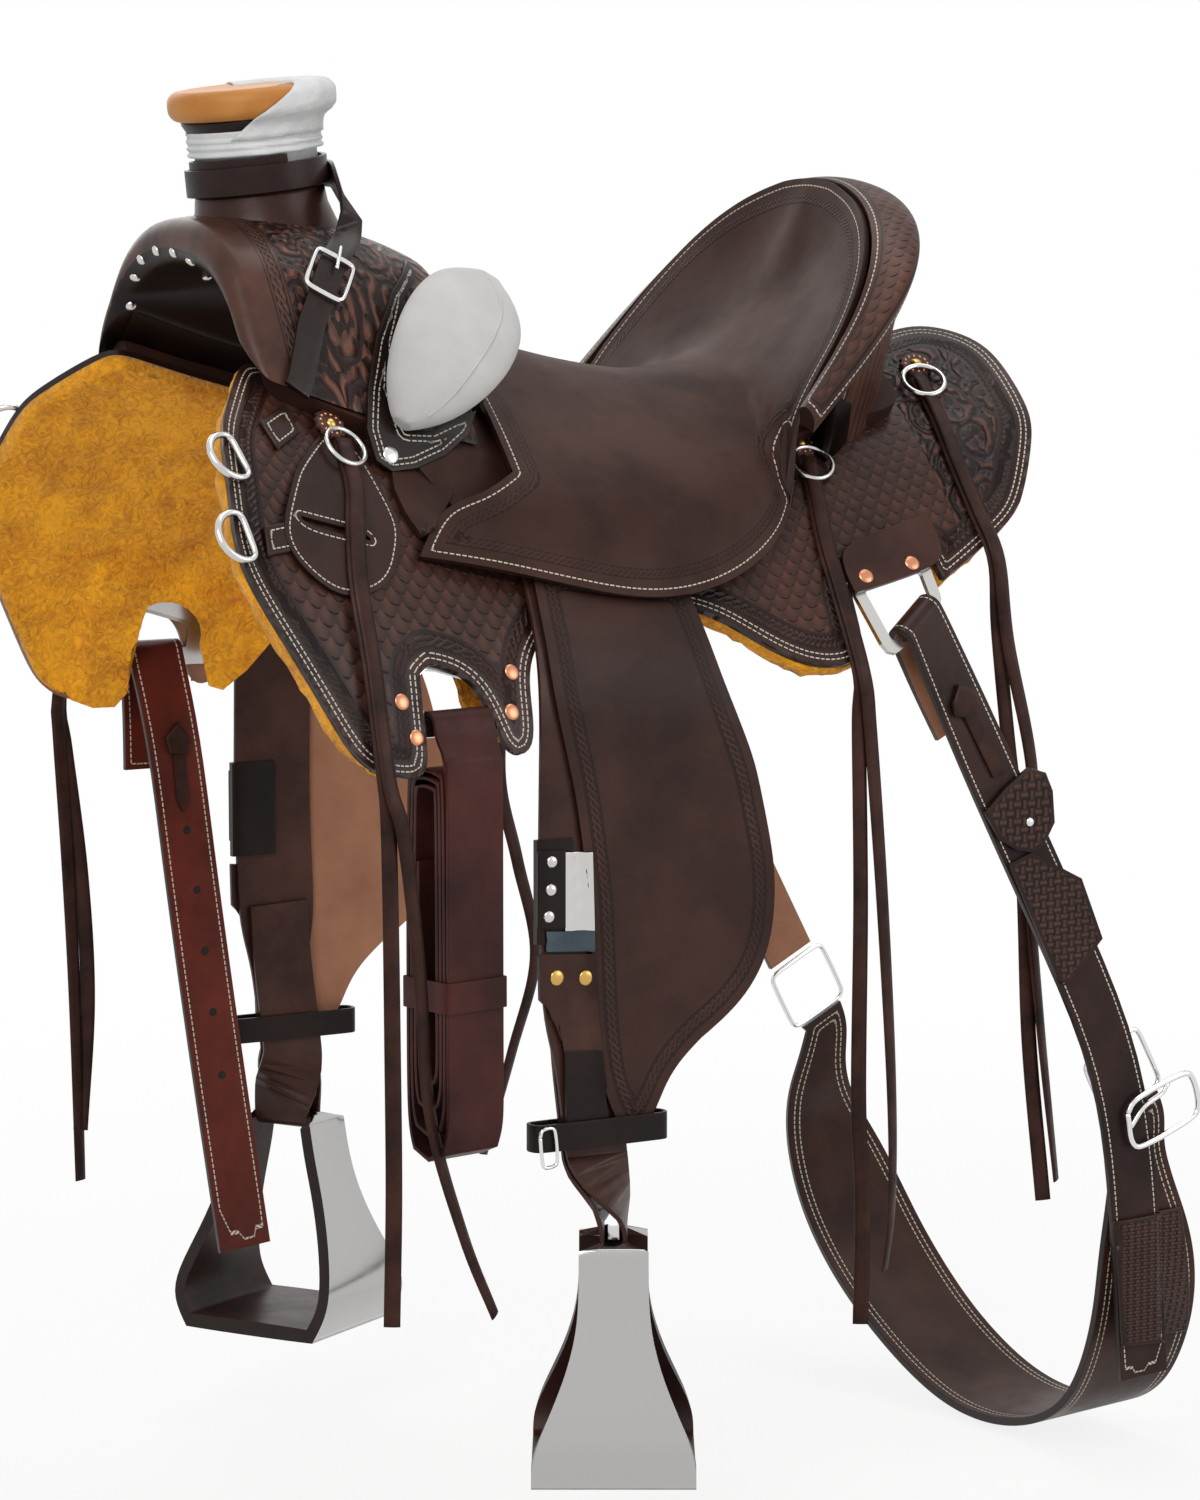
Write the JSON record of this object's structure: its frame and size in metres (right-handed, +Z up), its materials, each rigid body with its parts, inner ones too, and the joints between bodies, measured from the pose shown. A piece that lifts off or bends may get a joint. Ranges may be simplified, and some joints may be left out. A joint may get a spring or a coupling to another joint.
{
  "type": "wade saddle",
  "caption": "Western wade saddle with a wrapped post horn, deep seat, fleece-lined skirts, hanging fenders, stirrups, cinch straps and flank cinch.",
  "frame": {"origin": "on the horse's back line, in the middle of the saddle from side to side, a little ahead of the seat's lowest place", "axes": "-Y towards the horse's head, +X towards its near (left) side, +Z up"},
  "size_m": [0.7108, 0.8549, 1.072],
  "materials": {
    "breast_dee_lower_near": "polished",
    "breast_dee_lower_off": "polished",
    "breast_dee_upper_near": "polished",
    "breast_dee_upper_off": "polished",
    "bucking_roll_near": "suede",
    "bucking_roll_off": "suede",
    "buckle_cover_near": "smooth",
    "buckle_cover_off": "smooth",
    "cantle_back": "tooled, oiled",
    "cantle_binding": "tooled, oiled",
    "cinch_keeper": "tooled, oiled",
    "fender_near": "tooled, oiled",
    "fender_off": "tooled, oiled",
    "flank_billet_near": "tooled, oiled",
    "flank_billet_off": "tooled, oiled",
    "flank_buckle_near": "polished",
    "flank_buckle_off": "polished",
    "flank_cinch": "tooled, oiled",
    "fleece_near": "plush pile",
    "fleece_off": "plush pile",
    "fork_cover": "tooled, oiled",
    "ground_seat": "polished",
    "hobble_strap_near": "smooth",
    "hobble_strap_off": "smooth",
    "horn": "polished rawhide",
    "horn_wrap": "matt suede",
    "latigo": "waxed",
    "latigo_keeper": "waxed",
    "off_billet": "waxed",
    "rear_dee_near": "polished",
    "rear_dee_off": "polished",
    "rear_flap_near": "tooled, oiled",
    "rear_flap_off": "tooled, oiled",
    "rigging_plate_near": "polished",
    "rigging_plate_off": "polished",
    "rope_buckle": "polished",
    "rope_strap": "tooled, oiled",
    "seat": "tooled, oiled",
    "skirt_near": "tooled, oiled",
    "skirt_off": "tooled, oiled",
    "stirrup_leather_near": "tooled, oiled",
    "stirrup_leather_off": "tooled, oiled",
    "stirrup_near": "polished",
    "stirrup_off": "polished",
    "string_front_near": "waxed",
    "string_front_off": "waxed",
    "string_middle_near": "waxed",
    "string_middle_off": "waxed",
    "string_rear_near": "waxed",
    "string_ring_front_near": "polished",
    "string_ring_front_off": "polished",
    "string_ring_middle_near": "polished",
    "string_ring_middle_off": "polished",
    "string_ring_rear_near": "polished",
    "string_ring_rear_off": "polished",
    "tree_bar_near": "raw",
    "tree_bar_off": "raw",
    "tree_cantle": "raw",
    "tree_fork": "raw"
  },
  "bodies": {
    "saddle": {"bucking_roll_near": "bucking_roll_near", "bucking_roll_off": "bucking_roll_off", "cantle_back": "cantle_back", "cantle_binding": "cantle_binding", "cinch_keeper": "cinch_keeper", "fleece_near": "fleece_near", "fleece_off": "fleece_off", "fork_cover": "fork_cover", "ground_seat": "ground_seat", "horn": "horn", "horn_wrap": "horn_wrap", "rear_dee_near": "rear_dee_near", "rear_dee_off": "rear_dee_off", "rear_flap_near": "rear_flap_near", "rear_flap_off": "rear_flap_off", "rigging_plate_near": "rigging_plate_near", "rigging_plate_off": "rigging_plate_off", "rope_buckle": "rope_buckle", "rope_strap": "rope_strap", "seat": "seat", "skirt_near": "skirt_near", "skirt_off": "skirt_off", "string_front_near": "string_front_near", "string_front_off": "string_front_off", "string_middle_near": "string_middle_near", "string_middle_off": "string_middle_off", "string_rear_near": "string_rear_near", "tree_bar_near": "tree_bar_near", "tree_bar_off": "tree_bar_off", "tree_cantle": "tree_cantle", "tree_fork": "tree_fork"},
    "hanging_near": {"buckle_cover_near": "buckle_cover_near", "fender_near": "fender_near", "hobble_strap_near": "hobble_strap_near", "stirrup_leather_near": "stirrup_leather_near"},
    "iron_near": {"stirrup_near": "stirrup_near"},
    "ring_front_near": {"string_ring_front_near": "string_ring_front_near"},
    "ring_middle_near": {"string_ring_middle_near": "string_ring_middle_near"},
    "ring_rear_near": {"string_ring_rear_near": "string_ring_rear_near"},
    "dee_upper_near": {"breast_dee_upper_near": "breast_dee_upper_near"},
    "dee_lower_near": {"breast_dee_lower_near": "breast_dee_lower_near"},
    "hanging_off": {"buckle_cover_off": "buckle_cover_off", "fender_off": "fender_off", "hobble_strap_off": "hobble_strap_off", "stirrup_leather_off": "stirrup_leather_off"},
    "iron_off": {"stirrup_off": "stirrup_off"},
    "ring_front_off": {"string_ring_front_off": "string_ring_front_off"},
    "ring_middle_off": {"string_ring_middle_off": "string_ring_middle_off"},
    "ring_rear_off": {"string_ring_rear_off": "string_ring_rear_off"},
    "dee_upper_off": {"breast_dee_upper_off": "breast_dee_upper_off"},
    "dee_lower_off": {"breast_dee_lower_off": "breast_dee_lower_off"},
    "latigo_bundle": {"latigo": "latigo", "latigo_keeper": "latigo_keeper"},
    "billet_strap": {"off_billet": "off_billet"},
    "flank_set": {"flank_billet_near": "flank_billet_near", "flank_billet_off": "flank_billet_off", "flank_buckle_near": "flank_buckle_near", "flank_buckle_off": "flank_buckle_off", "flank_cinch": "flank_cinch"}
  },
  "joints": [
    {"name": "fender_swing_near", "type": "hinge", "parent": "saddle", "child": "hanging_near", "pos_m": [0.1851, -0.15, -0.06022], "axis": [0.7747, 0.1142, 0.622], "range_deg": [-3, 8]},
    {"name": "stirrup_tilt_near", "type": "hinge", "parent": "hanging_near", "child": "iron_near", "pos_m": [0.262, -0.14, -0.556], "axis": [0.866, -0.5, 0], "range_deg": [-20, 20]},
    {"name": "ring_front_near_lift", "type": "hinge", "parent": "saddle", "child": "ring_front_near", "pos_m": [0.15427, -0.30659, 0.02674], "axis": [0.3286, -0.9445, 0], "range_deg": [0, 35]},
    {"name": "ring_middle_near_lift", "type": "hinge", "parent": "saddle", "child": "ring_middle_near", "pos_m": [0.1228, 0.10748, -0.00258], "axis": [-0.122, -0.9925, 0], "range_deg": [0, 35]},
    {"name": "ring_rear_near_lift", "type": "hinge", "parent": "saddle", "child": "ring_rear_near", "pos_m": [0.08073, 0.23742, 0.05292], "axis": [-0.2689, -0.9632, 0], "range_deg": [0, 35]},
    {"name": "dee_upper_near_lift", "type": "hinge", "parent": "saddle", "child": "dee_upper_near", "pos_m": [0.18954, -0.398, 0.01273], "axis": [-0.5722, -0.196, 0.7963], "range_deg": [0, 40]},
    {"name": "dee_lower_near_lift", "type": "hinge", "parent": "saddle", "child": "dee_lower_near", "pos_m": [0.22708, -0.41, -0.03973], "axis": [-0.4709, -0.1318, 0.8723], "range_deg": [0, 40]},
    {"name": "fender_swing_off", "type": "hinge", "parent": "saddle", "child": "hanging_off", "pos_m": [-0.1851, -0.15, -0.06022], "axis": [0.7747, -0.1142, -0.622], "range_deg": [-3, 8]},
    {"name": "stirrup_tilt_off", "type": "hinge", "parent": "hanging_off", "child": "iron_off", "pos_m": [-0.262, -0.14, -0.556], "axis": [-0.866, -0.5, 0], "range_deg": [-20, 20]},
    {"name": "ring_front_off_lift", "type": "hinge", "parent": "saddle", "child": "ring_front_off", "pos_m": [-0.15109, -0.30659, 0.02385], "axis": [0.3286, 0.9445, 0], "range_deg": [0, 35]},
    {"name": "ring_middle_off_lift", "type": "hinge", "parent": "saddle", "child": "ring_middle_off", "pos_m": [-0.1228, 0.10748, -0.00258], "axis": [-0.122, 0.9925, 0], "range_deg": [0, 35]},
    {"name": "ring_rear_off_lift", "type": "hinge", "parent": "saddle", "child": "ring_rear_off", "pos_m": [-0.07893, 0.23742, 0.05052], "axis": [-0.2689, 0.9632, 0], "range_deg": [0, 35]},
    {"name": "dee_upper_off_lift", "type": "hinge", "parent": "saddle", "child": "dee_upper_off", "pos_m": [-0.18954, -0.398, 0.01273], "axis": [-0.5722, 0.196, -0.7963], "range_deg": [0, 40]},
    {"name": "dee_lower_off_lift", "type": "hinge", "parent": "saddle", "child": "dee_lower_off", "pos_m": [-0.22708, -0.41, -0.03973], "axis": [-0.4709, 0.1318, -0.8723], "range_deg": [0, 40]},
    {"name": "latigo_swing", "type": "hinge", "parent": "saddle", "child": "latigo_bundle", "pos_m": [0.25132, -0.2615, -0.17708], "axis": [0.102, -0.9948, -0.0085], "range_deg": [0, 20]},
    {"name": "off_billet_swing", "type": "hinge", "parent": "saddle", "child": "billet_strap", "pos_m": [-0.25132, -0.2615, -0.17708], "axis": [0.102, 0.9948, 0.0085], "range_deg": [0, 8]},
    {"name": "flank_swing", "type": "hinge", "parent": "saddle", "child": "flank_set", "pos_m": [0.22214, 0.14317, -0.12956], "axis": [1, 0, 0], "range_deg": [-2.5, 2.5]}
  ]
}
